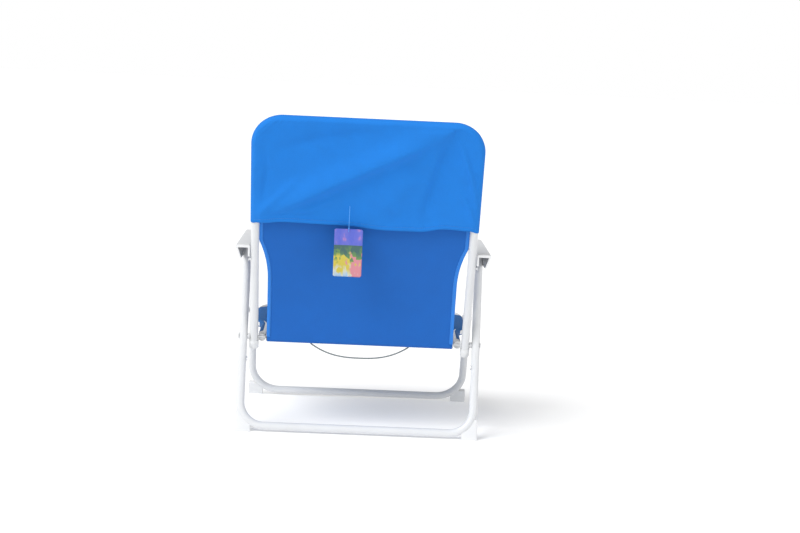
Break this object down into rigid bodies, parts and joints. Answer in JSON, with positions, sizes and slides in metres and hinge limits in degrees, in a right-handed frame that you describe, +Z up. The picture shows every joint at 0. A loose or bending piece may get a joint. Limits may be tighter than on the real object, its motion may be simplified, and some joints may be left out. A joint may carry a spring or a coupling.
{
  "type": "folding beach chair",
  "caption": "Low folding beach chair: white tubular frame with fabric seat and back slings, a fabric hood over the back and two channel armrests; the whole frame folds flat.",
  "frame": {"origin": "on the floor, at the middle of the chair's bounding box", "axes": "+Z up, -Y the way the sitter faces, +X the sitter's left"},
  "size_m": [0.573, 0.5419, 0.7255],
  "materials": {
    "frame_paint": "satin white powder coat",
    "plastic_white": "moulded satin",
    "nylon": "moulded matte",
    "steel": "plated",
    "seat_cloth": "woven polyester, dark blue",
    "back_cloth": "woven polyester, blue",
    "hood_cloth": "thin woven polyester, bright blue",
    "tag_card": "printed coated card",
    "cord": "braided cord"
  },
  "bodies": {
    "seat": {"seat_rail_tube": "frame_paint", "rear_crossbar": "frame_paint", "seat_sling": "seat_cloth", "carry_cord": "cord", "rear_pivot_pin_left": "steel", "rear_pivot_pin_right": "steel", "rear_pivot_spacer_left": "nylon", "rear_pivot_spacer_right": "nylon", "front_pivot_pin_left": "steel", "front_pivot_pin_right": "steel", "front_pivot_washer_left": "nylon", "front_pivot_washer_right": "nylon"},
    "back": {"back_frame_tube": "frame_paint", "back_sling": "back_cloth", "hood": "hood_cloth", "back_end_cap_left": "plastic_white", "back_end_cap_right": "plastic_white", "arm_rear_rivet_left": "steel", "arm_rear_rivet_right": "steel"},
    "tag": {"swing_tag": "tag_card", "tag_string": "cord"},
    "front_legs": {"front_leg_loop": "frame_paint", "front_foot_left": "plastic_white", "front_foot_right": "plastic_white"},
    "rear_legs": {"rear_leg_loop": "frame_paint", "rear_foot_left": "plastic_white", "rear_foot_right": "plastic_white", "rear_leg_plug_left": "plastic_white", "rear_leg_plug_right": "plastic_white", "leg_stop_rivet_left": "steel", "leg_stop_rivet_right": "steel"},
    "arm_left": {"armrest_left": "plastic_white", "arm_front_pin_left": "steel"},
    "arm_right": {"armrest_right": "plastic_white", "arm_front_pin_right": "steel"}
  },
  "joints": [
    {"name": "back_fold", "type": "hinge", "parent": "seat", "child": "back", "pos_m": [0, 0.0846, 0.21], "axis": [1, 0, 0], "range_deg": [0, 97]},
    {"name": "front_leg_fold", "type": "hinge", "parent": "seat", "child": "front_legs", "pos_m": [0, -0.18636, 0.2255], "axis": [1, 0, 0], "range_deg": [0, 97]},
    {"name": "rear_leg_fold", "type": "hinge", "parent": "seat", "child": "rear_legs", "pos_m": [0, 0.0846, 0.21], "axis": [1, 0, 0], "range_deg": [0, 68.5]},
    {"name": "arm_left_fold", "type": "hinge", "parent": "front_legs", "child": "arm_left", "pos_m": [0.2632, -0.12222, 0.41177], "axis": [1, 0, 0], "range_deg": [-97, 0]},
    {"name": "arm_right_fold", "type": "hinge", "parent": "front_legs", "child": "arm_right", "pos_m": [-0.2632, -0.12222, 0.41177], "axis": [1, 0, 0], "range_deg": [-97, 0]},
    {"name": "tag_swing", "type": "hinge", "parent": "back", "child": "tag", "pos_m": [0.035, 0.2083, 0.529], "axis": [1, 0, 0], "range_deg": [-12, 70]}
  ],
  "couplings": [
    {"joint": "front_leg_fold", "follows": "back_fold", "ratio": 1},
    {"joint": "rear_leg_fold", "follows": "back_fold", "ratio": 0.706},
    {"joint": "arm_left_fold", "follows": "back_fold", "ratio": -1},
    {"joint": "arm_right_fold", "follows": "back_fold", "ratio": -1}
  ]
}
